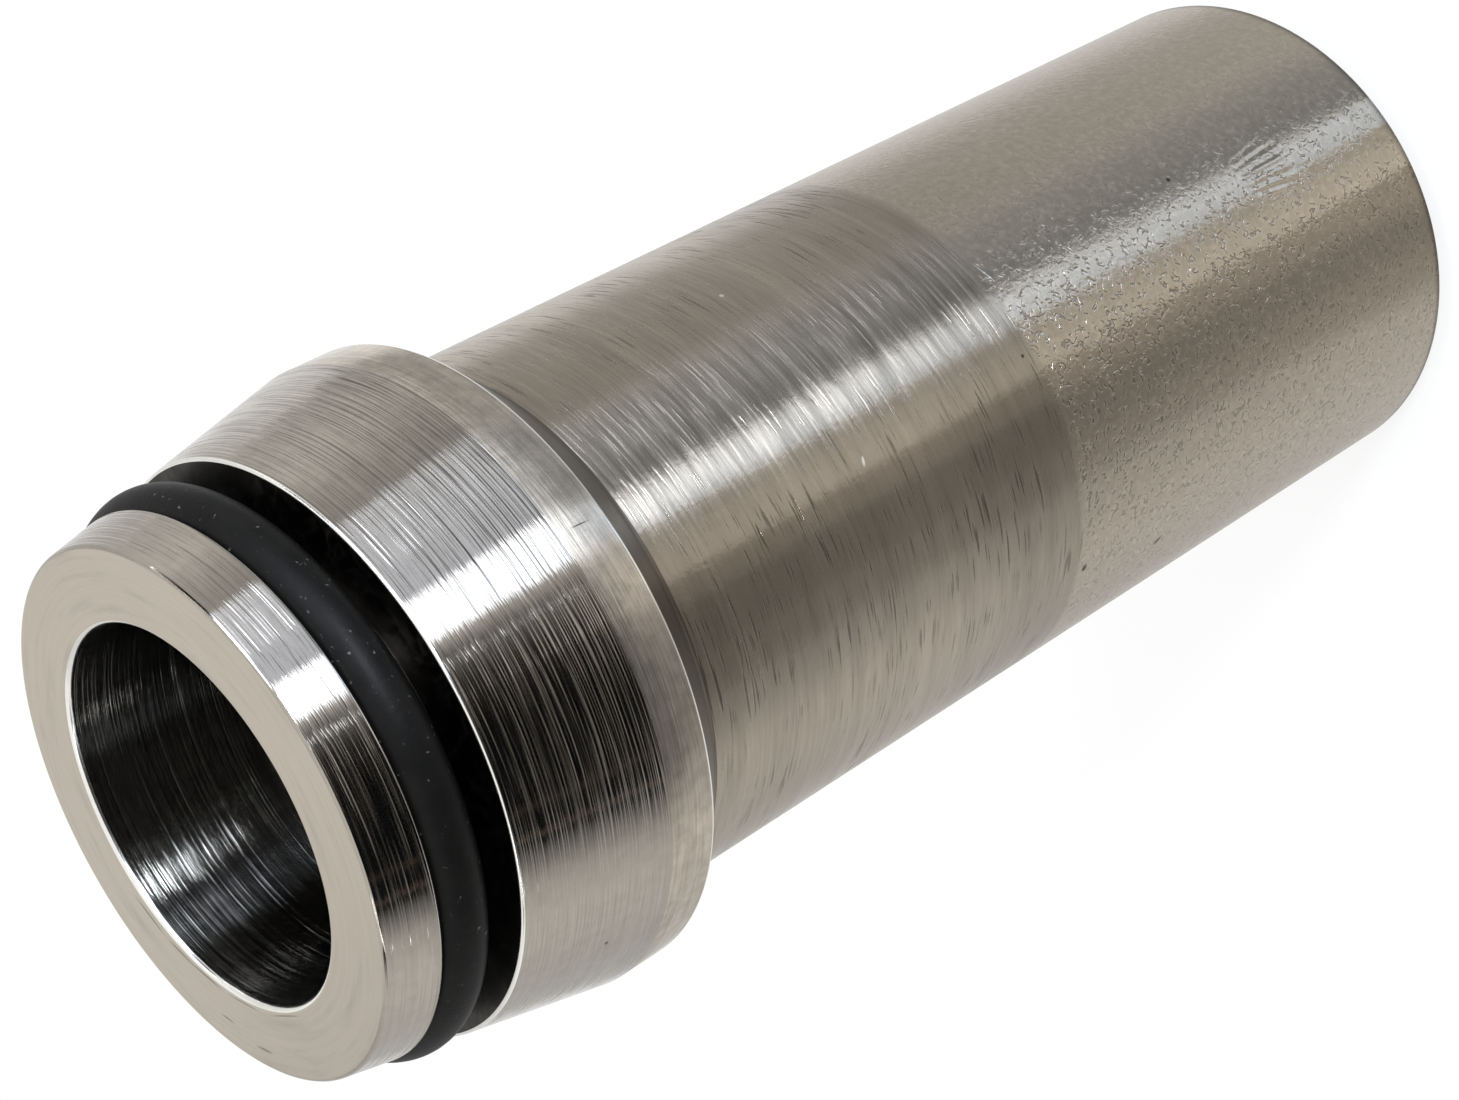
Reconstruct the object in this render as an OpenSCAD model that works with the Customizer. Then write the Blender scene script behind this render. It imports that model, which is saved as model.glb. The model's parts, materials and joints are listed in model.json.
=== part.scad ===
// Weld nipple with a 24 degree sealing cone and an O-ring.
// It stands on its weld end. +Z runs along the bore towards the nose,
// and the origin is the centre of the weld end.

/* [Barrel] */
// Outside diameter of the barrel, the same as its tube
barrel_d = 25; // [20:0.5:32]
// Wall between the bore and the outside of the barrel
barrel_wall = 4; // [3.5:0.25:6]
// Length of the whole nipple, from the weld end to the nose
total_len = 69; // [50:1:100]

/* [Weld end] */
// Angle of the weld bevel from the end face
bevel_angle = 30; // [20:1:40]
// Width of the flat ring that the bevel leaves at the end
weld_land = 1.6; // [1:0.1:2.2]

/* [Collar] */
// Height of the collar above the barrel
collar_height = 2; // [1.5:0.1:3]
// Length of the straight band round the collar
band_len = 2.25; // [1:0.25:5]
// Angle of the nut shoulder from the axis
shoulder_angle = 45; // [35:1:60]
// Radius at the foot of the nut shoulder
root_r = 0.4; // [0.2:0.1:0.8]

/* [Cone] */
// Angle across the whole sealing cone
cone_angle = 24; // [20:1:28]
// How far the rim of the nose lies inside the barrel's outside
nose_relief = 0.65; // [0.4:0.05:1]
// Length of the lip between the nose face and the groove
lip_len = 2.5; // [1.5:0.1:3.5]

/* [Seal] */
// Thickness of the O-ring's section
ring_section = 2.4; // [1.8:0.1:3]
// How far the O-ring stands proud of the cone
ring_proud = 0.25; // [0.1:0.05:0.4]
// Free width beside the O-ring in its groove
ring_room = 0.9; // [0.4:0.1:1.2]
// Clearance between the O-ring and the groove's floor and front wall
ring_clearance = 0.02; // [0.01:0.01:0.1]

/* [Edges] */
// Radius round the mouth of the bore
bore_edge_r = 0.25; // [0.1:0.05:0.5]
// Radius round the rim of the nose
nose_edge_r = 0.2; // [0.1:0.05:0.4]
// Radius along both edges of the groove
groove_edge_r = 0.15; // [0.05:0.05:0.3]
// Radius along the collar's rear edge
collar_edge_r = 0.15; // [0.05:0.05:0.4]

/* [Hidden] */
$fn = 96;

// How far a cutting shape runs past the metal
overrun = 0.5;
// Extra radius that lets an arc cross each of its sides in one clean edge
arc_overlap = 0.0005;

barrel_r = barrel_d / 2;
bore_r = barrel_r - barrel_wall;
collar_r = barrel_r + collar_height;
nose_r = barrel_r - nose_relief;

// Heights above the weld end, from the nose downwards
cone_slope = tan(cone_angle / 2);
cone_len = (collar_r - nose_r) / cone_slope;
cone_foot_z = total_len - cone_len;
band_foot_z = cone_foot_z - band_len;
shoulder_foot_z = band_foot_z - collar_height / tan(shoulder_angle);
bevel_top_z = (barrel_wall - weld_land) * tan(bevel_angle);

// The groove, sized by the O-ring that it holds
groove_top_z = total_len - lip_len;
groove_foot_z = groove_top_z - ring_clearance - ring_section - ring_room;
ring_z = groove_top_z - ring_clearance - ring_section / 2;
ring_mean_r = cone_r(ring_z) + ring_proud - ring_section / 2;
groove_floor_r = ring_mean_r - ring_section / 2 - ring_clearance;

// Corners of the turned section that carry a radius, as [radius, height]
bore_mouth = [bore_r, total_len];
nose_rim = [nose_r, total_len];
lip_edge = [cone_r(groove_top_z), groove_top_z];
cone_edge = [cone_r(groove_foot_z), groove_foot_z];
band_top = [collar_r, cone_foot_z];
band_foot = [collar_r, band_foot_z];
shoulder_foot = [barrel_r, shoulder_foot_z];

// Radius of the sealing cone at a height above the weld end
function cone_r(z) = nose_r + (total_len - z) * cone_slope;

function unit(v) = v / norm(v);

// Sliver between a corner and the arc that rounds it. a and b are points along the corner's two sides.
module corner_sliver(corner, a, b, r) {
    side_a = unit(a - corner);
    side_b = unit(b - corner);
    middle = unit(side_a + side_b);
    half_angle = acos(side_a * side_b) / 2;
    reach = r / tan(half_angle);
    centre = corner + middle * r / sin(half_angle);
    difference() {
        polygon([corner - middle * r, corner + side_a * reach, centre, corner + side_b * reach]);
        translate(centre) circle(r + arc_overlap);
    }
}

// Plain outline of the metal from the bore outwards, before its groove and its edges
module turned_outline() {
    polygon([
        [bore_r, 0],
        [bore_r + weld_land, 0],
        [barrel_r, bevel_top_z],
        shoulder_foot,
        band_foot,
        band_top,
        nose_rim,
        bore_mouth
    ]);
}

// Groove with a flat floor and square walls, open through the cone
module groove_section() {
    translate([groove_floor_r, groove_foot_z])
        square([collar_r + overrun - groove_floor_r, groove_top_z - groove_foot_z]);
}

module body_section() {
    difference() {
        union() {
            turned_outline();
            corner_sliver(shoulder_foot, [barrel_r, 0], band_foot, root_r);
        }
        groove_section();
        corner_sliver(bore_mouth, [bore_r, 0], nose_rim, bore_edge_r);
        corner_sliver(nose_rim, bore_mouth, band_top, nose_edge_r);
        corner_sliver(lip_edge, nose_rim, [groove_floor_r, groove_top_z], groove_edge_r);
        corner_sliver(cone_edge, band_top, [groove_floor_r, groove_foot_z], groove_edge_r);
        corner_sliver(band_foot, band_top, shoulder_foot, collar_edge_r);
    }
}

// Steel turning: barrel, nut shoulder, collar, cone, groove and lip in one piece
module nipple_body() {
    color("#a59e93") rotate_extrude() body_section();
}

// Rubber ring lying on the groove's floor, against the lip
module o_ring() {
    color("#2a2a2a") rotate_extrude() translate([ring_mean_r, ring_z]) circle(d = ring_section);
}

nipple_body();
o_ring();
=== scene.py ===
import json
import math

import bmesh
import bpy
from mathutils import Matrix, Vector


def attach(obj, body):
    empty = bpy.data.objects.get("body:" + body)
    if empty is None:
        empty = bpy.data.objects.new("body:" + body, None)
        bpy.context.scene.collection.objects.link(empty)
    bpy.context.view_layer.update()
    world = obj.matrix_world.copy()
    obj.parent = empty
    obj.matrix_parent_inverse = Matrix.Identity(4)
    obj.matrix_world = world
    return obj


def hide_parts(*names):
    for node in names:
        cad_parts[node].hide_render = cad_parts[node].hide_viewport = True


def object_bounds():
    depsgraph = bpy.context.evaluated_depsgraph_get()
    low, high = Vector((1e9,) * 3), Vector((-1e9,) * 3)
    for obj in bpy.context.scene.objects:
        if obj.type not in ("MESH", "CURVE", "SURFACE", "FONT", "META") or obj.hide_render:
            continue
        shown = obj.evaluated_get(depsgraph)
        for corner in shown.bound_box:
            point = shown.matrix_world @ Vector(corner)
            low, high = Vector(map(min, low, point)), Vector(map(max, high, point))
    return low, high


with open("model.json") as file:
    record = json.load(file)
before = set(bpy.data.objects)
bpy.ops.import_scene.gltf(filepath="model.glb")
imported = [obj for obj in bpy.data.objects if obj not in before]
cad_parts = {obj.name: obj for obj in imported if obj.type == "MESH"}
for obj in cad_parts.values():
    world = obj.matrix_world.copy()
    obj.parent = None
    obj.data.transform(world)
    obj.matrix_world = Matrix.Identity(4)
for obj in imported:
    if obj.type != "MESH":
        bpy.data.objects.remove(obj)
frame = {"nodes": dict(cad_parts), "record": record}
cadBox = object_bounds()
mm = 0.001  # the scene is in metres, the notes and settings in millimetres
print("frame loaded:", ", ".join(sorted(frame["nodes"])))

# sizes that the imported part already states
mountSizes = {m["name"]: m["dims"] for m in frame["record"]["mounts"]}
boreR = mountSizes["bore"]["r_mm"] * mm
barrelR = mountSizes["barrel"]["r_mm"] * mm
totalLen = cadBox[1].z
collarR = min(cadBox[1].x, cadBox[1].y)

seamReach = 0.0005 * mm  # points closer than this are one
cornerReach = 0.001 * mm  # how near a point lies to the corner it belongs to


def toLinear(hexColour):
    parts = [int(hexColour[i:i + 2], 16) / 255 for i in (0, 2, 4)]
    return [c / 12.92 if c <= 0.04045 else ((c + 0.055) / 1.055) ** 2.4 for c in parts] + [1.0]


def addNode(tree, kind, inputs=None, **settings):
    # a socket as an input's value is linked, anything else is set
    node = tree.nodes.new(kind)
    for name, value in settings.items():
        setattr(node, name, value)
    for name, value in (inputs or {}).items():
        if isinstance(value, bpy.types.NodeSocket):
            tree.links.new(value, node.inputs[name])
        else:
            node.inputs[name].default_value = value
    return node


def startMaterial(name):
    made = bpy.data.materials.new(name)
    made.use_nodes = True
    made.node_tree.nodes.clear()
    return made, made.node_tree


def toObject(bm, name):
    # a finished bmesh as an object, its place in its mesh
    mesh = bpy.data.meshes.new(name)
    bm.to_mesh(mesh)
    bm.free()
    made = bpy.data.objects.new(name, mesh)
    bpy.context.scene.collection.objects.link(made)
    return made


# Camera: the part stands, so the picture's tilt is the camera's own roll
cameraSetup = {
    "place": Vector((0.0, -110.87, 118.20)) * mm,
    "target": Vector((-1.19, 0.0, 39.87)) * mm,
    "roll": -119.56,
    "lens": 73.95,
    "sensor": 36,
    "nearest": 0.005,
    "furthest": 20,
}


def makeCamera(setup):
    data = bpy.data.cameras.new("camera")
    data.lens = setup["lens"]
    data.sensor_width = setup["sensor"]
    data.clip_start = setup["nearest"]
    data.clip_end = setup["furthest"]
    made = bpy.data.objects.new("camera", data)
    aim = (setup["target"] - setup["place"]).to_track_quat("-Z", "Y").to_matrix().to_4x4()
    roll = Matrix.Rotation(math.radians(setup["roll"]), 4, "Z")
    made.matrix_world = Matrix.Translation(setup["place"]) @ aim @ roll
    bpy.context.scene.collection.objects.link(made)
    bpy.context.scene.camera = made


makeCamera(cameraSetup)
bpy.context.scene.view_settings.view_transform = "Standard"
print("camera placed")

# Body: one turned piece
bodySizes = {
    "noseRelief": 0.65 * mm,  # the nose is that much smaller in radius than the barrel
    "lipLen": 2.5 * mm,
    "coneAngle": 24,
    "bandLen": 2.25 * mm,
    "weldLand": 1.6 * mm,
    "bevelAngle": 30,
    "steps": 256,
    "rimSegments": 5,
    "sharpAngle": 25,  # edges that turn more than this shade as edges
    # how far a finish runs past its own corner, over the rounded edge there
    "overlap": {"flat": 0.01 * mm, "bore": 0.3 * mm, "groove": 0.16 * mm, "band": 0.16 * mm,
                "shoulder": 0.2 * mm},
}

# O-ring: the body's groove is cut round it
ringSizes = {
    "section": 2.4 * mm,
    "proud": 0.25 * mm,
    "room": 0.9 * mm,
    "clearance": 0.02 * mm,
    "sectionSteps": 40,
    "steps": 224,
}

noseR = barrelR - bodySizes["noseRelief"]
coneSlope = math.tan(math.radians(bodySizes["coneAngle"] / 2))
coneFootZ = totalLen - (collarR - noseR) / coneSlope
bandFootZ = coneFootZ - bodySizes["bandLen"]
shoulderFootZ = bandFootZ - (collarR - barrelR)
landR = boreR + bodySizes["weldLand"]
bevelTopZ = (barrelR - landR) * math.tan(math.radians(bodySizes["bevelAngle"]))
grooveTopZ = totalLen - bodySizes["lipLen"]
grooveFootZ = grooveTopZ - ringSizes["clearance"] - ringSizes["section"] - ringSizes["room"]


def coneRadius(z):
    return noseR + (totalLen - z) * coneSlope


ringZ = grooveTopZ - ringSizes["clearance"] - ringSizes["section"] / 2
ringMeanR = coneRadius(ringZ) + ringSizes["proud"] - ringSizes["section"] / 2
grooveFloorR = ringMeanR - ringSizes["section"] / 2 - ringSizes["clearance"]

# rounded edges: radius and height of the corner, how round it is, and how far its painted highlight reaches
bodyRims = [
    (boreR, totalLen, 0.25 * mm, 0.25 * mm),  # mouth of the bore
    (noseR, totalLen, 0.2 * mm, 0.0),  # rim of the nose
    (coneRadius(grooveTopZ), grooveTopZ, 0.15 * mm, 0.15 * mm),
    (coneRadius(grooveFootZ), grooveFootZ, 0.15 * mm, 0.15 * mm),
    (collarR, bandFootZ, 0.15 * mm, 0.12 * mm),  # rear edge of the collar
    (barrelR, shoulderFootZ, 0.4 * mm, 0.0),  # root of the nut shoulder
]


def spinRound(bm, section, steps):
    # a full turn about the part's axis, closed at the seam and facing outwards
    bmesh.ops.spin(bm, geom=section, axis=(0, 0, 1), cent=(0, 0, 0),
                   angle=2 * math.pi, steps=steps, use_merge=True)
    bmesh.ops.remove_doubles(bm, verts=bm.verts, dist=seamReach)
    bmesh.ops.recalc_face_normals(bm, faces=bm.faces)


def roundRim(bm, radius, height, edgeR, segments):
    # fillets the ring of edges at that radius and height
    def atCorner(vert):
        return abs(vert.co.z - height) < cornerReach and abs(vert.co.xy.length - radius) < cornerReach
    rim = [e for e in bm.edges if atCorner(e.verts[0]) and atCorner(e.verts[1])]
    turn = rim[0].calc_face_angle()
    bmesh.ops.bevel(bm, geom=rim, offset=edgeR * math.tan(turn / 2), offset_type="OFFSET",
                    affect="EDGES", segments=segments, profile=0.5, material=-1, clamp_overlap=True)


def hasPaintedEdgeHighlight(r, z):
    # the rounded edges whose thin bright line is a painted highlight
    return any(abs(r - rimR) < reach and abs(z - rimZ) < reach for rimR, rimZ, _, reach in bodyRims)


def bodyFinish(centre, normal, overlap):
    # which finish a face of the body has, by where it lies
    r, z = centre.xy.length, centre.z
    outwards = normal.xy.dot(centre.xy) > 0
    inGroove = grooveFootZ - overlap["flat"] < z < grooveTopZ + overlap["flat"]
    if z > totalLen - overlap["flat"] or z < overlap["flat"]:
        return "faced"
    if hasPaintedEdgeHighlight(r, z):
        return "rim"
    if r < boreR + overlap["bore"] and not outwards:
        return "bored"
    if inGroove and r < coneRadius(z) - overlap["groove"]:
        return "groove"
    if z > coneFootZ:
        return "cone"
    if z > bandFootZ - overlap["band"]:
        return "band"
    if z > shoulderFootZ - overlap["shoulder"]:
        return "shoulder"
    return "barrel"


def makeBody(sizes, finishes):
    bm = bmesh.new()
    corners = [bm.verts.new((r, 0, z)) for r, z in (
        (boreR, totalLen), (noseR, totalLen),
        (coneRadius(grooveTopZ), grooveTopZ), (grooveFloorR, grooveTopZ),
        (grooveFloorR, grooveFootZ), (coneRadius(grooveFootZ), grooveFootZ),
        (collarR, coneFootZ), (collarR, bandFootZ), (barrelR, shoulderFootZ),
        (barrelR, bevelTopZ), (landR, 0), (boreR, 0),
    )]
    outline = [bm.edges.new(pair) for pair in zip(corners, corners[1:] + corners[:1])]
    spinRound(bm, corners + outline, sizes["steps"])
    for radius, height, edgeR, _ in bodyRims:
        roundRim(bm, radius, height, edgeR, sizes["rimSegments"])
    bm.normal_update()
    names = list(finishes)
    for face in bm.faces:
        finish = bodyFinish(face.calc_center_median(), face.normal, sizes["overlap"])
        face.material_index = names.index(finish)
        face.smooth = True
    for edge in bm.edges:
        if edge.calc_face_angle(0) > math.radians(sizes["sharpAngle"]) or edge.is_boundary:
            edge.smooth = False
    made = toObject(bm, "nippleBodyTurned")
    for name in names:
        made.data.materials.append(finishes[name])
    shading = made.modifiers.new("weightedNormal", "WEIGHTED_NORMAL")
    shading.keep_sharp = True
    shading.weight = 100
    return made


def makeRing(sizes, finish):
    bm = bmesh.new()
    upright = Matrix.Translation((ringMeanR, 0, ringZ)) @ Matrix.Rotation(math.pi / 2, 4, "X")
    bmesh.ops.create_circle(bm, segments=sizes["sectionSteps"], radius=sizes["section"] / 2, matrix=upright)
    spinRound(bm, bm.verts[:] + bm.edges[:], sizes["steps"])
    for face in bm.faces:
        face.smooth = True
    made = toObject(bm, "oRingMoulded")
    made.data.materials.append(finish)
    return made


# Finishes of the turned steel. Every length is in millimetres.
steelColours = {
    "base": "afa596",
    "cone": "aca59b",
    "face": "bdb4a6",
    # the bore's darker colour is painted shade inside the bore
    "bore": "8e8c86",
    "band": "bdb3a4",
    # groove: on the shoulder its darker tone is painted shade; on the face it colours real scratches
    "groove": "6b645b",
    # cut: nearly black, painted shade deep in the groove
    "cut": "3a3631",
    "pit": "1c1a18",
    # bright: painted highlight, for the rounded edges and for glints on the barrel
    "bright": "f2f0ea",
    "scuff": "827a6f",
}

# lineLen and linePitch are how long the tool's lines are and how far apart. A finishing cut leaves them about
# 0.06 apart, finer than a pixel, so all but the bore's are drawn two or three times as coarse. scatter is how
# much duller some lines are than the rest, lineTone and stainTone how far lines and stains darken the colour.
turnedLooks = {
    "cone": {"colour": "cone", "roughness": 0.12, "scatter": 0.14, "anisotropy": 1.0, "lineLen": 10.0,
             "linePitch": 0.15, "depth": 0.03, "lineTone": 0.05, "stainTone": 0.08},
    "band": {"colour": "band", "roughness": 0.2, "scatter": 0.06, "anisotropy": 0.5, "lineLen": 4.0,
             "linePitch": 0.14, "depth": 0.006, "lineTone": 0.16, "stainTone": 0.2, "metallic": 0.92},
    "shoulder": {"colour": "groove", "roughness": 0.28, "scatter": 0.1, "anisotropy": 0.9, "lineLen": 6.0,
                 "linePitch": 0.15, "depth": 0.006, "lineTone": 0.1, "stainTone": 0.1},
    "bored": {"colour": "bore", "roughness": 0.15, "scatter": 0.03, "anisotropy": 1.0, "lineLen": 16.0,
              "linePitch": 0.06, "depth": 0.02, "lineTone": 0.1, "stainTone": 0.35},
    "groove": {"colour": "cut", "roughness": 0.3, "scatter": 0.15, "anisotropy": 0.6, "lineLen": 3.0,
               "linePitch": 0.2, "depth": 0.02, "lineTone": 0.3, "stainTone": 0.2},
    "rim": {"colour": "bright", "roughness": 0.2, "scatter": 0.05, "anisotropy": 0.0, "lineLen": 4.0,
            "linePitch": 0.1, "depth": 0.002, "lineTone": 0.05, "stainTone": 0.05},
}
turnedStain = 0.6  # size of the stains on all of them

# Small marks: angle from the camera's side towards +X, height, width round the part, length along it, tilt
markDepth = 1.5  # how far in and out of its surface a mark reaches
coneMarkR = 14.0  # the cone's radius where it is scuffed
coneMarks = [
    {"angle": -62.0, "z": 59.1, "size": (0.25, 0.2), "tilt": 0, "colour": "pit"},
    {"angle": 58.5, "z": 57.3, "size": (4.0, 0.16), "tilt": 0, "colour": "scuff"},
    {"angle": 66.0, "z": 56.85, "size": (3.2, 0.18), "tilt": 0, "colour": "scuff"},
]
bandMarks = [
    {"angle": 10.6, "z": 55.5, "size": (0.07, 0.9), "tilt": 3, "colour": "pit"},
]


def streaks(tree, point, length, pitch, detail=3.0, seed=0.0):
    # noise drawn out round the part: length round it, pitch along its axis
    squeeze = addNode(tree, "ShaderNodeMapping", {
        "Vector": point,
        "Location": (seed, seed, seed),
        "Scale": (1 / (length * mm), 1 / (length * mm), 1 / (pitch * mm)),
    })
    return addNode(tree, "ShaderNodeTexNoise", {
        "Vector": squeeze.outputs["Vector"], "Scale": 1.0, "Detail": detail, "Roughness": 0.6,
    }).outputs["Fac"]


def addMarks(tree, point, colour, radius, marks):
    # spots and scratches, each an ellipse laid on a turned wall, or on the nose face where it has a radius
    for mark in marks:
        turn = math.radians(mark["angle"])
        tilt = math.radians(mark["tilt"])
        across, along = mark["size"]
        if "r" in mark:
            reach, height = mark["r"] * mm, totalLen
            rotation = (0, 0, turn + tilt)
            scale = (across / 2 * mm, along / 2 * mm, markDepth * mm)
        else:
            reach, height = radius, mark["z"] * mm
            rotation = (0, tilt, turn)
            scale = (across / 2 * mm, markDepth * mm, along / 2 * mm)
        laid = addNode(tree, "ShaderNodeMapping", {
            "Vector": point,
            "Location": (reach * math.sin(turn), -reach * math.cos(turn), height),
            "Rotation": rotation,
            "Scale": scale,
        }, vector_type="TEXTURE")
        away = addNode(tree, "ShaderNodeVectorMath", {0: laid.outputs["Vector"]}, operation="LENGTH")
        cover = addNode(tree, "ShaderNodeMapRange", {
            "Value": away.outputs["Value"], "From Min": 0.5, "From Max": 1.1, "To Min": 0.85, "To Max": 0.0,
        })
        colour = addNode(tree, "ShaderNodeMix", {
            "Factor": cover.outputs[0], 6: colour, 7: toLinear(steelColours[mark["colour"]]),
        }, data_type="RGBA").outputs[2]
    return colour


def turnedMaterial(name, look, radius=0.0, marks=()):
    # steel cut on the lathe: fine rings round the part pull each highlight out along its axis
    made, tree = startMaterial(name)
    point = addNode(tree, "ShaderNodeTexCoord").outputs["Object"]
    axis = addNode(tree, "ShaderNodeCombineXYZ", {"Z": 1.0})
    lines = streaks(tree, point, look["lineLen"], look["linePitch"], detail=1.0)
    fine = streaks(tree, point, look["lineLen"] / 2, look["linePitch"] / 1.3, detail=1.0, seed=7.0)
    stains = addNode(tree, "ShaderNodeTexNoise", {
        "Vector": point, "Scale": 1 / (turnedStain * mm), "Detail": 4.0,
    })
    ridges = addNode(tree, "ShaderNodeMath", {0: lines, 1: fine}, operation="ADD")
    bump = addNode(tree, "ShaderNodeBump", {
        "Height": ridges.outputs[0], "Strength": 1.0, "Distance": look["depth"] * mm,
    })
    gloss = addNode(tree, "ShaderNodeMapRange", {
        "Value": fine, "From Min": 0.54, "From Max": 0.74,
        "To Min": look["roughness"], "To Max": look["roughness"] + look["scatter"],
    })
    lineTone = addNode(tree, "ShaderNodeMapRange", {
        "Value": lines, "From Min": 0.3, "From Max": 0.7,
        "To Min": 1 - look["lineTone"], "To Max": 1 + look["lineTone"] * 0.6,
    })
    stainTone = addNode(tree, "ShaderNodeMapRange", {
        "Value": stains.outputs["Fac"], "From Min": 0.3, "From Max": 0.6,
        "To Min": 1 - look["stainTone"], "To Max": 1.0,
    })
    tone = addNode(tree, "ShaderNodeMath", {
        0: lineTone.outputs[0], 1: stainTone.outputs[0],
    }, operation="MULTIPLY")
    base = addNode(tree, "ShaderNodeMix", {
        "Factor": 1.0, 6: toLinear(steelColours[look["colour"]]), 7: tone.outputs[0],
    }, data_type="RGBA", blend_type="MULTIPLY")
    shader = addNode(tree, "ShaderNodeBsdfPrincipled", {
        "Base Color": addMarks(tree, point, base.outputs[2], radius, marks),
        "Metallic": look.get("metallic", 1.0),
        "Roughness": gloss.outputs[0],
        "Anisotropic": look["anisotropy"],
        "Tangent": axis.outputs["Vector"],
        "Normal": bump.outputs["Normal"],
    })
    addNode(tree, "ShaderNodeOutputMaterial", {"Surface": shader.outputs["BSDF"]})
    return made


# Barrel: turned down to peelTop and left as tube below it
barrelLook = {
    "roughness": 0.2, "scatter": 0.1, "anisotropy": 1.0,
    "lineLen": 3.5, "linePitch": 0.18, "depth": 0.006, "lineTone": (0.82, 1.1),
    "broadLen": 14.0, "broadPitch": 1.1, "broadTone": (0.9, 1.05),
    "scratchLen": 2.0, "scratchPitch": 0.11, "scratchDepth": 0.013, "scratchDull": 0.14, "scratchTone": 0.7,
    "wanderSize": 2.5, "wanderReach": 1.2,  # how the boundary between the two skins strays
    "peelTop": 29.2, "peelFade": (0.2, 1.0), "peelSize": 0.34, "peelDepth": 0.018, "peelRoughness": 0.22,
    "wormSize": 0.4, "wormWidth": 0.075, "wormDepth": 0.015, "wormTone": 0.6,
    "wormBreaks": 0.9,  # size of the gaps between worms, as a share of the worms
    "wormFade": {"from": 1.5, "to": 5.5, "left": 0.45},  # fewer towards +X
    "mottleTone": (0.9, 1.06),
    "ripples": {"angle": 9.5, "z": 10.3, "across": 4.4, "along": 4.4, "thick": 4.0, "pitch": 0.46,
                "depth": 0.02, "fan": 0.2},
    # tone up the barrel: dark at the weld end, painted shade where the end and its bevel turn away from the
    # light; darker again just above the boundary
    "bands": [(0.0, 0.4), (1.5, 0.5), (1.75, 1.0), (29.1, 1.0), (29.4, 0.79), (31.5, 0.82), (38.0, 1.0)],
    "bandsPast": 10.0,  # how far the ramp runs on past its last band
}

barrelMarks = [
    {"angle": -51.3, "z": 28.7, "size": (0.42, 0.4), "tilt": 0, "colour": "pit"},
    {"angle": -58.0, "z": 22.9, "size": (0.34, 0.6), "tilt": -30, "colour": "pit"},
    {"angle": 0.0, "z": 29.9, "size": (0.2, 0.2), "tilt": 0, "colour": "pit"},
    {"angle": 18.0, "z": 16.1, "size": (0.26, 0.26), "tilt": 0, "colour": "pit"},
    # the bright marks are painted glints, where scratches catch the light
    {"angle": 43.0, "z": 40.2, "size": (0.26, 0.22), "tilt": 0, "colour": "bright"},
    {"angle": -2.7, "z": 40.5, "size": (0.5, 0.16), "tilt": 20, "colour": "bright"},
    {"angle": 19.0, "z": 28.9, "size": (1.3, 0.1), "tilt": -14, "colour": "bright"},
]


def wormPits(tree, point, side, below, breaks, look):
    # thin contour lines of a noise, broken up by a coarser one, on the tube's own skin alone
    contours = addNode(tree, "ShaderNodeTexNoise", {
        "Vector": point, "Scale": 1 / (look["wormSize"] * mm), "Detail": 1.0, "Distortion": 0.5,
    })
    offMiddle = addNode(tree, "ShaderNodeMath", {0: contours.outputs["Fac"], 1: 0.5}, operation="SUBTRACT")
    offLine = addNode(tree, "ShaderNodeMath", {0: offMiddle.outputs[0]}, operation="ABSOLUTE")
    thin = addNode(tree, "ShaderNodeMapRange", {
        "Value": offLine.outputs[0], "From Min": 0.0, "From Max": look["wormWidth"],
        "To Min": 1.0, "To Max": 0.0,
    })
    broken = addNode(tree, "ShaderNodeMapRange", {
        "Value": breaks, "From Min": 0.5, "From Max": 0.58, "To Min": 0.0, "To Max": 1.0,
    })
    short = addNode(tree, "ShaderNodeMath", {0: thin.outputs[0], 1: broken.outputs[0]}, operation="MULTIPLY")
    onTube = addNode(tree, "ShaderNodeMath", {0: short.outputs[0], 1: below}, operation="MULTIPLY")
    fade = look["wormFade"]
    sided = addNode(tree, "ShaderNodeMapRange", {
        "Value": side, "From Min": fade["from"] * mm, "From Max": fade["to"] * mm,
        "To Min": 1.0, "To Max": fade["left"],
    })
    return addNode(tree, "ShaderNodeMath", {0: onTube.outputs[0], 1: sided.outputs[0]},
                   operation="MULTIPLY").outputs[0]


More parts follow.
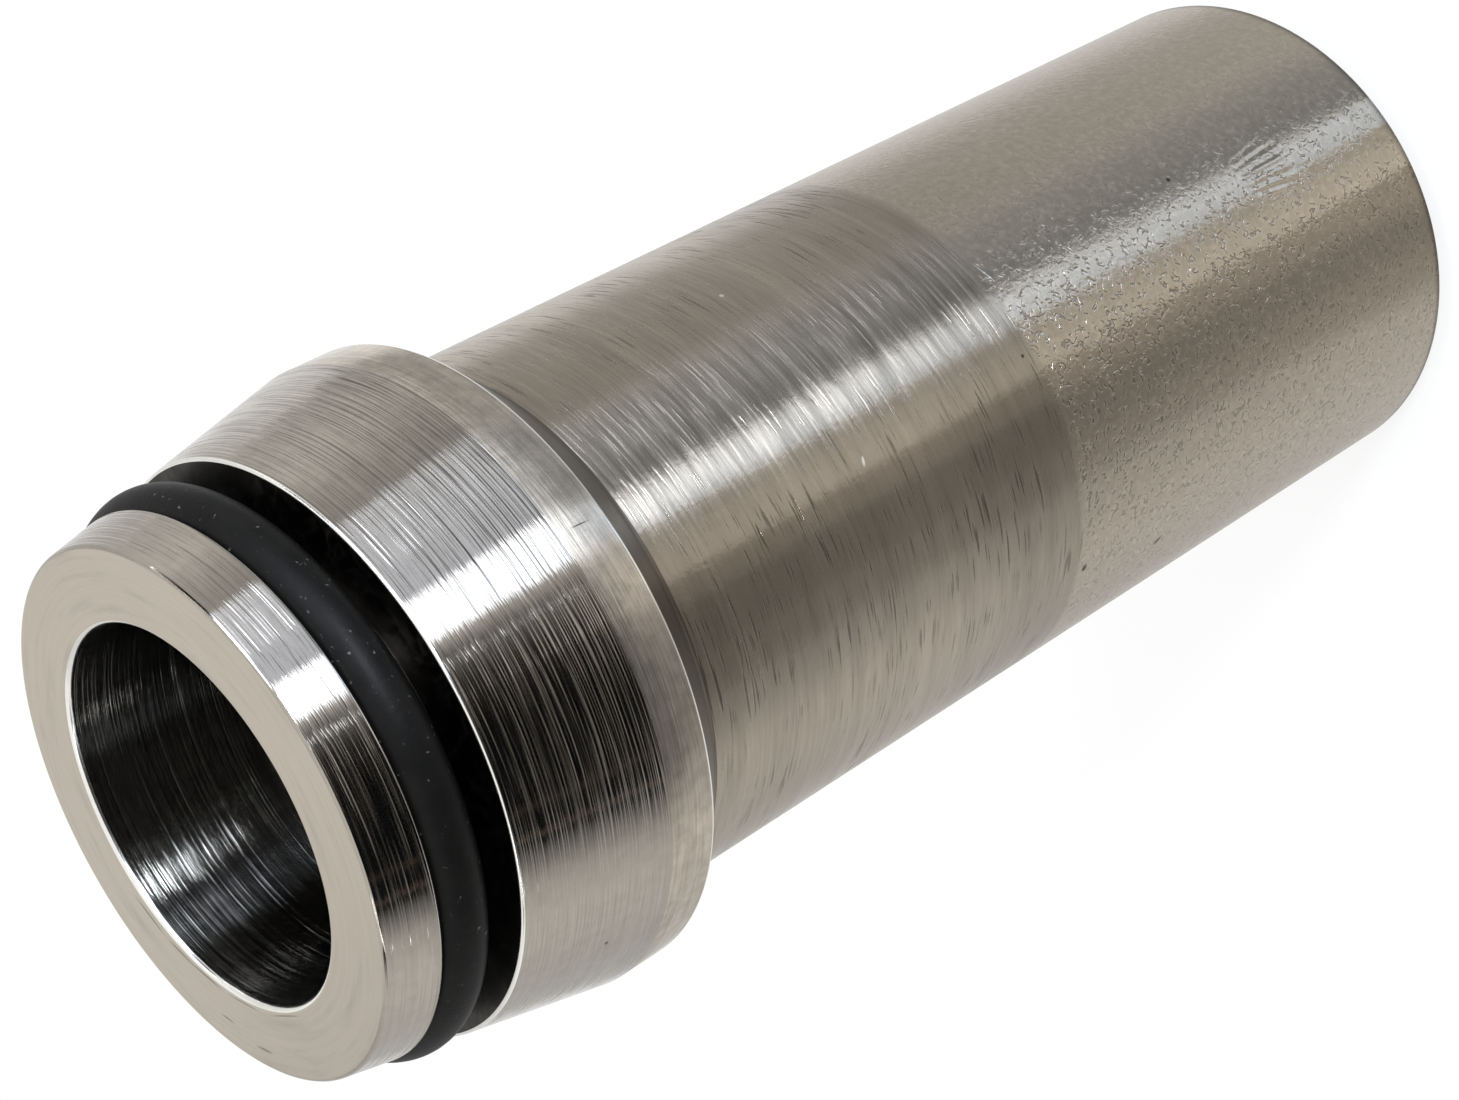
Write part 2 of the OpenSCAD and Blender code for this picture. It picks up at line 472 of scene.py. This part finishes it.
def addRipples(tree, point, normal, ripples):
    # a patch of curved ripples, as a scuffed tool leaves
    turn = math.radians(ripples["angle"])
    laid = addNode(tree, "ShaderNodeMapping", {
        "Vector": point,
        "Location": (barrelR * math.sin(turn), -barrelR * math.cos(turn), ripples["z"] * mm),
        "Rotation": (0, 0, turn),
        "Scale": (ripples["across"] / 2 * mm, ripples["thick"] / 2 * mm, ripples["along"] / 2 * mm),
    }, vector_type="TEXTURE")
    away = addNode(tree, "ShaderNodeVectorMath", {0: laid.outputs["Vector"]}, operation="LENGTH")
    patch = addNode(tree, "ShaderNodeMapRange", {
        "Value": away.outputs["Value"], "From Min": 0.45, "From Max": 1.0, "To Min": 1.0, "To Max": 0.0,
    })
    place = addNode(tree, "ShaderNodeSeparateXYZ", {"Vector": laid.outputs["Vector"]})
    spread = addNode(tree, "ShaderNodeMath", {
        0: place.outputs["Z"], 1: ripples["fan"], 2: 1.0,
    }, operation="MULTIPLY_ADD")
    sideways = addNode(tree, "ShaderNodeMath", {
        0: spread.outputs[0], 1: place.outputs["X"],
    }, operation="MULTIPLY")
    fanned = addNode(tree, "ShaderNodeCombineXYZ", {"X": sideways.outputs[0], "Z": place.outputs["Z"]})
    waves = addNode(tree, "ShaderNodeTexWave", {
        "Vector": fanned.outputs["Vector"],
        "Scale": ripples["across"] / ripples["pitch"] / 20 * math.pi,  # the node counts 20 to a turn
        "Distortion": 1.2, "Detail": 0.0, "Detail Scale": 0.8,
    }, wave_type="BANDS", bands_direction="X")
    return addNode(tree, "ShaderNodeBump", {
        "Height": waves.outputs["Fac"], "Strength": patch.outputs[0],
        "Distance": ripples["depth"] * mm, "Normal": normal,
    }).outputs["Normal"]


def heightBands(tree, height, look):
    # a ramp of tones up the barrel
    reach = look["bands"][-1][0] + look["bandsPast"]
    share = addNode(tree, "ShaderNodeMath", {0: height, 1: 1 / (reach * mm)}, operation="MULTIPLY")
    bands = addNode(tree, "ShaderNodeValToRGB", {"Fac": share.outputs[0]})
    stops = bands.color_ramp.elements
    while len(stops) < len(look["bands"]):
        stops.new(1.0)
    for stop, (level, tone) in zip(stops, look["bands"]):
        stop.position = level / reach
        stop.color = (tone, tone, tone, 1.0)
    return bands.outputs["Color"]


def barrelMaterial(look, marks):
    # satin with short scratches where the lathe reached, and below it tube skin, dimpled like orange peel
    made, tree = startMaterial("steelBarrelSatin")
    point = addNode(tree, "ShaderNodeTexCoord").outputs["Object"]
    axis = addNode(tree, "ShaderNodeCombineXYZ", {"Z": 1.0})
    parts = addNode(tree, "ShaderNodeSeparateXYZ", {"Vector": point})
    lines = streaks(tree, point, look["lineLen"], look["linePitch"])
    peel = addNode(tree, "ShaderNodeTexNoise", {
        "Vector": point, "Scale": 1 / (look["peelSize"] * mm), "Detail": 2.0, "Distortion": 0.6,
    })
    breaks = addNode(tree, "ShaderNodeTexNoise", {
        "Vector": point, "Scale": 1 / (look["wormSize"] * look["wormBreaks"] * mm), "Detail": 0.0,
    }).outputs["Fac"]

    # the boundary between the two skins strays a little
    wander = addNode(tree, "ShaderNodeTexNoise", {
        "Vector": point, "Scale": 1 / (look["wanderSize"] * mm), "Detail": 3.0,
    }).outputs["Fac"]
    edge = addNode(tree, "ShaderNodeMath", {
        0: wander, 1: look["wanderReach"] * mm, 2: parts.outputs["Z"],
    }, operation="MULTIPLY_ADD")
    fullyTube, fullyTurned = (look["peelTop"] + past for past in look["peelFade"])
    below = addNode(tree, "ShaderNodeMapRange", {
        "Value": edge.outputs[0], "From Min": fullyTurned * mm, "From Max": fullyTube * mm,
        "To Min": 0.0, "To Max": 1.0,
    }).outputs[0]
    above = addNode(tree, "ShaderNodeMath", {0: 1.0, 1: below}, operation="SUBTRACT")

    # short scratches, in patches, where it was turned
    scratches = streaks(tree, point, look["scratchLen"], look["scratchPitch"], detail=0.0, seed=3.0)
    scratched = addNode(tree, "ShaderNodeMapRange", {
        "Value": scratches, "From Min": 0.61, "From Max": 0.72, "To Min": 0.0, "To Max": 1.0,
    })
    turned = addNode(tree, "ShaderNodeMath", {
        0: scratched.outputs[0], 1: above.outputs[0],
    }, operation="MULTIPLY")
    patches = addNode(tree, "ShaderNodeMapRange", {
        "Value": wander, "From Min": 0.42, "From Max": 0.62, "To Min": 0.1, "To Max": 1.0,
    })
    cut = addNode(tree, "ShaderNodeMath", {
        0: turned.outputs[0], 1: patches.outputs[0],
    }, operation="MULTIPLY").outputs[0]
    worms = wormPits(tree, point, parts.outputs["X"], below, breaks, look)

    # relief: lines and scratches above, worms and dimples below, and the patch of ripples
    lineRelief = addNode(tree, "ShaderNodeBump", {
        "Height": lines, "Strength": 1.0, "Distance": look["depth"] * mm,
    })
    scratchRelief = addNode(tree, "ShaderNodeBump", {
        "Height": cut, "Strength": 1.0, "Distance": look["scratchDepth"] * mm,
        "Normal": lineRelief.outputs["Normal"],
    }, invert=True)
    wormRelief = addNode(tree, "ShaderNodeBump", {
        "Height": worms, "Strength": 1.0, "Distance": look["wormDepth"] * mm,
        "Normal": scratchRelief.outputs["Normal"],
    }, invert=True)
    peelShare = addNode(tree, "ShaderNodeMapRange", {"Value": below, "To Min": 0.25, "To Max": 1.0})
    peelRelief = addNode(tree, "ShaderNodeBump", {
        "Height": peel.outputs["Fac"], "Strength": peelShare.outputs[0],
        "Distance": look["peelDepth"] * mm, "Normal": wormRelief.outputs["Normal"],
    })
    relief = addRipples(tree, point, peelRelief.outputs["Normal"], look["ripples"])

    # gloss: scratches are duller than the lines
    lineGloss = addNode(tree, "ShaderNodeMapRange", {
        "Value": lines, "From Min": 0.4, "From Max": 0.75,
        "To Min": look["roughness"], "To Max": look["roughness"] + look["scatter"],
    })
    cutGloss = addNode(tree, "ShaderNodeMath", {
        0: cut, 1: look["scratchDull"], 2: lineGloss.outputs[0],
    }, operation="MULTIPLY_ADD")
    gloss = addNode(tree, "ShaderNodeMix", {
        "Factor": below, 2: cutGloss.outputs[0], 3: look["peelRoughness"],
    }, data_type="FLOAT")

    # colour: every pattern darkens or lightens the plain steel a little
    lineTone = addNode(tree, "ShaderNodeMapRange", {
        "Value": lines, "From Min": 0.3, "From Max": 0.7,
        "To Min": look["lineTone"][0], "To Max": look["lineTone"][1],
    })
    broadTone = addNode(tree, "ShaderNodeMapRange", {
        "Value": streaks(tree, point, look["broadLen"], look["broadPitch"], detail=2.0, seed=11.0),
        "From Min": 0.35, "From Max": 0.65,
        "To Min": look["broadTone"][0], "To Max": look["broadTone"][1],
    })
    ringed = addNode(tree, "ShaderNodeMath", {
        0: lineTone.outputs[0], 1: broadTone.outputs[0],
    }, operation="MULTIPLY")
    mottle = addNode(tree, "ShaderNodeMapRange", {
        "Value": breaks, "From Min": 0.3, "From Max": 0.7,
        "To Min": look["mottleTone"][0], "To Max": look["mottleTone"][1],
    })
    skinTone = addNode(tree, "ShaderNodeMix", {
        "Factor": below, 2: ringed.outputs[0], 3: mottle.outputs[0],
    }, data_type="FLOAT")
    wormTone = addNode(tree, "ShaderNodeMapRange", {
        "Value": worms, "To Min": 1.0, "To Max": look["wormTone"],
    })
    cutTone = addNode(tree, "ShaderNodeMapRange", {
        "Value": cut, "To Min": 1.0, "To Max": look["scratchTone"],
    })
    pitted = addNode(tree, "ShaderNodeMath", {
        0: skinTone.outputs[0], 1: wormTone.outputs[0],
    }, operation="MULTIPLY")
    tone = addNode(tree, "ShaderNodeMath", {
        0: pitted.outputs[0], 1: cutTone.outputs[0],
    }, operation="MULTIPLY")
    toned = addNode(tree, "ShaderNodeMix", {
        "Factor": 1.0, 6: toLinear(steelColours["base"]), 7: tone.outputs[0],
    }, data_type="RGBA", blend_type="MULTIPLY")
    banded = addNode(tree, "ShaderNodeMix", {
        "Factor": 1.0, 6: toned.outputs[2], 7: heightBands(tree, parts.outputs["Z"], look),
    }, data_type="RGBA", blend_type="MULTIPLY")
    shader = addNode(tree, "ShaderNodeBsdfPrincipled", {
        "Base Color": addMarks(tree, point, banded.outputs[2], barrelR, marks),
        "Metallic": 1.0,
        "Roughness": gloss.outputs[0],
        "Anisotropic": look["anisotropy"],
        "Tangent": axis.outputs["Vector"],
        "Normal": relief,
    })
    addNode(tree, "ShaderNodeOutputMaterial", {"Surface": shader.outputs["BSDF"]})
    return made


# Ends: the facing cut's rings are drawn coarser than the real 0.06
faceLook = {
    "roughness": 0.42, "anisotropy": 0.2,
    "lineLen": 6.0, "linePitch": 0.12, "depth": 0.003, "lineTone": (0.95, 1.03),
    "stainLen": 4.0, "stainPitch": 0.5, "stainTone": (0.86, 1.0),
}

# on the nose face, by radius: a scratched arc beside the mouth and two scuffs
faceMarks = [
    {"angle": -163.0, "r": 9.03, "size": (2.4, 0.15), "tilt": 2, "colour": "groove"},
    {"angle": -149.0, "r": 8.93, "size": (2.0, 0.14), "tilt": 3, "colour": "groove"},
    {"angle": -138.0, "r": 8.84, "size": (2.4, 0.13), "tilt": 1, "colour": "groove"},
    {"angle": -121.0, "r": 8.82, "size": (2.6, 0.1), "tilt": 0, "colour": "scuff"},
    {"angle": -100.0, "r": 8.82, "size": (2.6, 0.08), "tilt": 0, "colour": "scuff"},
    {"angle": -130.4, "r": 10.4, "size": (1.0, 0.14), "tilt": 0, "colour": "scuff"},
    {"angle": -117.3, "r": 10.9, "size": (1.3, 0.16), "tilt": 0, "colour": "scuff"},
]


def facedMaterial(look, marks):
    # end faced on the lathe: a matt satin with rings about the axis
    made, tree = startMaterial("steelFacedSatin")
    point = addNode(tree, "ShaderNodeTexCoord").outputs["Object"]
    flat = addNode(tree, "ShaderNodeVectorMath", {0: point, 1: (1, 1, 0)}, operation="MULTIPLY")
    radius = addNode(tree, "ShaderNodeVectorMath", {0: flat.outputs[0]}, operation="LENGTH")
    parts = addNode(tree, "ShaderNodeSeparateXYZ", {"Vector": point})
    ringPoint = addNode(tree, "ShaderNodeCombineXYZ", {
        "X": parts.outputs["X"], "Y": parts.outputs["Y"], "Z": radius.outputs["Value"],
    }).outputs["Vector"]
    lines = streaks(tree, ringPoint, look["lineLen"], look["linePitch"])
    stains = streaks(tree, ringPoint, look["stainLen"], look["stainPitch"], seed=5.0)
    bump = addNode(tree, "ShaderNodeBump", {
        "Height": lines, "Strength": 1.0, "Distance": look["depth"] * mm,
    })
    lineTone = addNode(tree, "ShaderNodeMapRange", {
        "Value": lines, "From Min": 0.3, "From Max": 0.7,
        "To Min": look["lineTone"][0], "To Max": look["lineTone"][1],
    })
    stainTone = addNode(tree, "ShaderNodeMapRange", {
        "Value": stains, "From Min": 0.25, "From Max": 0.5,
        "To Min": look["stainTone"][0], "To Max": look["stainTone"][1],
    })
    tone = addNode(tree, "ShaderNodeMath", {
        0: lineTone.outputs[0], 1: stainTone.outputs[0],
    }, operation="MULTIPLY")
    base = addNode(tree, "ShaderNodeMix", {
        "Factor": 1.0, 6: toLinear(steelColours["face"]), 7: tone.outputs[0],
    }, data_type="RGBA", blend_type="MULTIPLY")
    shader = addNode(tree, "ShaderNodeBsdfPrincipled", {
        "Base Color": addMarks(tree, point, base.outputs[2], 0.0, marks),
        "Metallic": 1.0,
        "Roughness": look["roughness"],
        "Anisotropic": look["anisotropy"],
        "Tangent": flat.outputs[0],
        "Normal": bump.outputs["Normal"],
    })
    addNode(tree, "ShaderNodeOutputMaterial", {"Surface": shader.outputs["BSDF"]})
    return made


# Rubber: real mould grain and dust are finer than a pixel, so both are drawn coarser here
rubberLook = {
    "dark": "050504", "light": "12110f", "dust": "7c7a76",
    "roughness": 0.45, "ior": 1.52, "specular": 0.09,
    "grainSize": 0.25, "grainDepth": 0.02, "dustSize": 0.3, "dustCover": 0.5, "bloomSize": 1.2,
}


def rubberMaterial(look):
    # moulded nitrile rubber: matt black with a weak grey sheen and a little pale dust
    made, tree = startMaterial("nitrileRubberMoulded")
    point = addNode(tree, "ShaderNodeTexCoord").outputs["Object"]
    grain = addNode(tree, "ShaderNodeTexNoise", {
        "Vector": point, "Scale": 1 / (look["grainSize"] * mm), "Detail": 4.0,
    })
    specks = addNode(tree, "ShaderNodeTexNoise", {
        "Vector": point, "Scale": 1 / (look["dustSize"] * mm), "Detail": 2.0,
    })
    bloom = addNode(tree, "ShaderNodeTexNoise", {
        "Vector": point, "Scale": 1 / (look["bloomSize"] * mm), "Detail": 4.0,
    })
    bump = addNode(tree, "ShaderNodeBump", {
        "Height": grain.outputs["Fac"], "Strength": 0.6, "Distance": look["grainDepth"] * mm,
    })
    dust = addNode(tree, "ShaderNodeMapRange", {
        "Value": specks.outputs["Fac"], "From Min": 0.69, "From Max": 0.8,
        "To Min": 0.0, "To Max": look["dustCover"],
    })
    black = addNode(tree, "ShaderNodeMix", {
        "Factor": bloom.outputs["Fac"], 6: toLinear(look["dark"]), 7: toLinear(look["light"]),
    }, data_type="RGBA")
    base = addNode(tree, "ShaderNodeMix", {
        "Factor": dust.outputs[0], 6: black.outputs[2], 7: toLinear(look["dust"]),
    }, data_type="RGBA")
    shader = addNode(tree, "ShaderNodeBsdfPrincipled", {
        "Base Color": base.outputs[2],
        "Roughness": look["roughness"],
        "IOR": look["ior"],
        "Specular IOR Level": look["specular"],
        "Normal": bump.outputs["Normal"],
    })
    addNode(tree, "ShaderNodeOutputMaterial", {"Surface": shader.outputs["BSDF"]})
    return made


finishes = {
    "faced": facedMaterial(faceLook, faceMarks),
    # finely turned: near mirror round the part, its highlights drawn out along the axis
    "cone": turnedMaterial("steelTurnedFine", turnedLooks["cone"], coneMarkR * mm, coneMarks),
    # rough cut, unlit: its nearly black colour is painted shade deep in the groove
    "groove": turnedMaterial("steelGrooveCut", turnedLooks["groove"]),
    # handled satin: softer and paler than the cone, stained
    "band": turnedMaterial("steelBandSatin", turnedLooks["band"], collarR, bandMarks),
    # slope under the collar: its dull, darker grey is painted shade
    "shoulder": turnedMaterial("steelShoulderTurned", turnedLooks["shoulder"]),
    "barrel": barrelMaterial(barrelLook, barrelMarks),
    # bored and stained: its colour darker than the other steel, painted shade inside the bore, with crisp
    # lines where light falls in
    "bored": turnedMaterial("steelBored", turnedLooks["bored"]),
    # painted highlight: thin bright lines round the rounded edges, set in their colour
    "rim": turnedMaterial("steelBurnishedEdge", turnedLooks["rim"]),
}

body = makeBody(bodySizes, finishes)
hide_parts("nipple_body")
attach(body, "root")
print("body turned:", len(body.data.polygons), "faces")

ring = makeRing(ringSizes, rubberMaterial(rubberLook))
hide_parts("o_ring")
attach(ring, "root")
print("O-ring moulded:", len(ring.data.polygons), "faces")

# Studio: white tent and floor, tall soft panels, and graded cards that only the metal's gloss can see. The
# cards glow with painted light and shade.
# Each angle names the line of the barrel that mirrors that edge, counted from the camera's side towards +X.
studio = {
    "distance": 170 * mm,
    "floorSize": 3.0,
    "whiteShare": 0.8,
    "panels": {
        "stripPanel": {"from": 5.7, "to": 13.4, "low": 0.0, "high": 80.0,
                       "radiance": 2.8, "colour": "dae8ff"},
        "fillPanel": {"from": 13.6, "to": 30.2, "low": 0.0, "high": 100.0,
                      "radiance": 0.42, "colour": "f0f4ff"},
        "highStrip": {"from": 7.0, "to": 12.2, "low": 80.0, "high": 130.0,
                      "radiance": 60.0, "colour": "e6efff"},
        "highFill": {"from": 16.5, "to": 31.0, "low": 104.0, "high": 300.0,
                     "radiance": 8.0, "colour": "e0eaff"},
        "thinStrip": {"from": 1.5, "to": 2.1, "low": 84.0, "high": 330.0,
                      "radiance": 6.0, "colour": "e6eefa"},
        "leftStrip": {"from": -39.8, "to": -38.6, "low": 110.0, "high": 300.0,
                      "radiance": 7.0, "colour": "f4f6fa"},
        "rightStrip": {"from": 46.6, "to": 47.2, "low": 110.0, "high": 300.0,
                       "radiance": 7.0, "colour": "f4f6fa"},
    },
    "cardShare": 1.02,  # the cards stand just behind the panels
    "cardLift": 0.3 * mm,  # and lie just above the floor
    "cardHeights": [0.0, 100.0, 130.0, 200.0],
    "upperTone": "161616",  # between the two side angles the wall cards turn dark above the second height
    "upperReach": 49,
    # wall cards: glowing tones standing round the part, painted light and shade
    "wallCards": {
        "darkWall": [(-85, "dadada"), (-72, "dcdcdc"), (-60, "ececec"), (-50, "ffffff"), (-44, "ffffff"),
                     (-37, "d8d8d8"), (-30.4, "24262a"), (-29.6, "121418"), (-29.0, "685a54"),
                     (-28.2, "121418"), (-25.2, "101216"), (-24.3, "403836"), (-23.4, "0a0c10"),
                     (-8, "0a0c10"), (-2, "303032"), (3, "8a8c8e"), (5.9, "ffffff")],
        "fillWall": [(13.4, "deeaff"), (30.3, "e6f0ff")],
        "greyWall": [(30.4, "cccccc"), (36, "dedede"), (44, "ffffff"), (52, "f4f4f4"), (62, "e4e4e4"),
                     (80, "f0f0f0")],
    },
    # floor cards: painted light and shade lying on the floor round the part, with a painted reflection of the
    # strip lamp, seen only in gloss
    "floorCards": {  # tones beside the part, and out at the wall
        "paintedFloorShade": [(-75, "eaeaea", "cccccc"), (-58, "f6f6f6", "d4d4d4"), (-42, "f4f4f4", "f0f0f0"),
                      (-28, "ccc9c6", "363636"), (-20, "b6b4b2", "202020"), (-10, "d4d0cc", "54504c"),
                      (-4.7, "d4cfc8", "98928c")],
        "paintedWarmFloorLight": [(-4.6, "f8f6f3", "bebab6"), (0, "eae8e5", "b6b2ae"), (3, "d0cecb", "aeaba7"),
                      (5.9, "c0bdba", "a8a5a1")],
        "paintedStripReflection": [(6.2, "8e98a6", "8490a2"), (12.8, "8e98a6", "8490a2")],
        "paintedGreyFloorShade": [(13.1, "94989c", "4c5054"), (20, "b0b4b8", "5c6064"), (30, "d8dadb", "7c7e80"),
                      (36, "e2e2e2", "7c7c7c"), (60, "fcfcfc", "a4a4a4")],
    },
    "glow": {"paintedStripReflection": 3.4, "paintedWarmFloorLight": 1.2},
    "discRadius": 8.3,
    "discSteps": 48,
    "discTone": "0c0c0c",
}


def mirrorRay(angle):
    # where the barrel's line at that angle is, and which way it sends the camera's sight
    turn = math.radians(angle)
    normal = Vector((math.sin(turn), -math.cos(turn)))
    start = normal * barrelR
    sight = (cameraSetup["place"].xy - start).normalized()
    return start, (2 * normal.dot(sight) * normal - sight).normalized()


def mirrorPoint(angle, distance):
    start, way = mirrorRay(angle)
    return start + way * distance


def addPanelLight(name, setup, distance):
    # a soft box that faces the part and shines with the same radiance whatever its size
    left, right = (mirrorPoint(setup[side], distance) for side in ("from", "to"))
    low, high = setup["low"] * mm, setup["high"] * mm
    data = bpy.data.lights.new(name, "AREA")
    data.shape = "RECTANGLE"
    data.size = (right - left).length
    data.size_y = high - low
    data.energy = setup["radiance"] * math.pi * data.size * data.size_y
    data.color = toLinear(setup["colour"])[:3]
    made = bpy.data.objects.new(name, data)
    middle = (left + right) / 2
    across = (right - left).normalized().to_3d()
    up = Vector((0, 0, 1))
    back = across.cross(up)
    if back.xy.dot(middle) < 0:
        across, back = -across, -back
    turn = Matrix((across, up, back)).transposed().to_4x4()
    made.matrix_world = Matrix.Translation((middle.x, middle.y, (low + high) / 2)) @ turn
    made.visible_camera = False
    bpy.context.scene.collection.objects.link(made)


def cardMaterial(glow):
    # glowing card, graded from edge to edge: its tones are painted light and shade for the metal to mirror
    made, tree = startMaterial("glowingPaintedCard")
    tone = addNode(tree, "ShaderNodeAttribute", attribute_name="tone")
    light = addNode(tree, "ShaderNodeEmission", {"Color": tone.outputs["Color"], "Strength": glow})
    addNode(tree, "ShaderNodeOutputMaterial", {"Surface": light.outputs[0]})
    return made


def stageCard(bm, name, paint):
    # a card that shows in reflections alone
    made = toObject(bm, name)
    made.data.materials.append(paint)
    made.visible_camera = False
    made.visible_diffuse = False
    made.visible_shadow = False


def addCard(name, rows, paint):
    # matching rows of points, each with its tone, joined one to the next
    bm = bmesh.new()
    tone = bm.verts.layers.float_color.new("tone")
    lines = []
    for row in rows:
        corners = []
        for place, colour in row:
            vert = bm.verts.new(place)
            vert[tone] = toLinear(colour)
            corners.append(vert)
        lines.append([bm.edges.new(pair) for pair in zip(corners, corners[1:])])
    for low, high in zip(lines, lines[1:]):
        bmesh.ops.bridge_loops(bm, edges=low + high)
    stageCard(bm, name, paint)


def addCards(setup):
    plainCard = cardMaterial(1.0)
    reach = setup["distance"] * setup["cardShare"]
    for name, stops in setup["wallCards"].items():
        rows = []
        for place, height in enumerate(setup["cardHeights"]):
            up = Vector((0, 0, height * mm))
            row = []
            for angle, tone in stops:
                shaded = place > 1 and abs(angle) < setup["upperReach"]
                row.append((mirrorPoint(angle, reach).to_3d() + up, setup["upperTone"] if shaded else tone))
            rows.append(row)
        addCard(name, rows, plainCard)
    lift = Vector((0, 0, setup["cardLift"]))
    for name, stops in setup["floorCards"].items():
        nearRow = [(mirrorRay(angle)[0].to_3d() + lift, near) for angle, near, _ in stops]
        farRow = [(mirrorPoint(angle, reach).to_3d() + lift, far) for angle, _, far in stops]
        glow = setup["glow"].get(name)
        addCard(name, [nearRow, farRow], cardMaterial(glow) if glow else plainCard)


def addDisc(setup):
    # painted shade: a dark disc on the floor under the bore, where no light reaches, seen only in the metal's
    # gloss
    bm = bmesh.new()
    tone = bm.verts.layers.float_color.new("tone")
    lift = Matrix.Translation((0, 0, setup["cardLift"]))
    bmesh.ops.create_circle(bm, cap_ends=True, segments=setup["discSteps"],
                            radius=setup["discRadius"] * mm, matrix=lift)
    for vert in bm.verts:
        vert[tone] = toLinear(setup["discTone"])
    stageCard(bm, "darkDisc", cardMaterial(1.0))


def paperMaterial(whiteShare):
    # white paper: takes the part's shadow, and looks nearly white to the camera and in gloss
    made, tree = startMaterial("whitePaperFloor")
    rays = addNode(tree, "ShaderNodeLightPath")
    mirrored = addNode(tree, "ShaderNodeMath", {
        0: rays.outputs["Is Camera Ray"], 1: rays.outputs["Is Glossy Ray"],
    }, operation="MAXIMUM")
    seen = addNode(tree, "ShaderNodeMath", {
        0: mirrored.outputs[0], 1: rays.outputs["Is Transmission Ray"],
    }, operation="MAXIMUM")
    share = addNode(tree, "ShaderNodeMath", {0: seen.outputs[0], 1: whiteShare}, operation="MULTIPLY")
    paper = addNode(tree, "ShaderNodeBsdfDiffuse", {"Color": toLinear("fafafa")})
    white = addNode(tree, "ShaderNodeEmission", {"Color": (1, 1, 1, 1), "Strength": 1.0})
    both = addNode(tree, "ShaderNodeMixShader", {
        0: share.outputs[0], 1: paper.outputs[0], 2: white.outputs[0],
    })
    addNode(tree, "ShaderNodeOutputMaterial", {"Surface": both.outputs[0]})
    return made


def addFloor(setup):
    bm = bmesh.new()
    bmesh.ops.create_grid(bm, x_segments=1, y_segments=1, size=setup["floorSize"] / 2)
    made = toObject(bm, "studioFloor")
    made.data.materials.append(paperMaterial(setup["whiteShare"]))


def addSurround():
    world = bpy.data.worlds.new("whiteTent")
    world.use_nodes = True
    tree = world.node_tree
    tree.nodes.clear()
    light = addNode(tree, "ShaderNodeBackground", {"Color": (1, 1, 1, 1), "Strength": 1.0})
    addNode(tree, "ShaderNodeOutputWorld", {"Surface": light.outputs[0]})
    bpy.context.scene.world = world


addSurround()
addFloor(studio)
for name, setup in studio["panels"].items():
    addPanelLight(name, setup, studio["distance"])
addCards(studio)
addDisc(studio)
print("studio set")

bpy.context.view_layer.update()
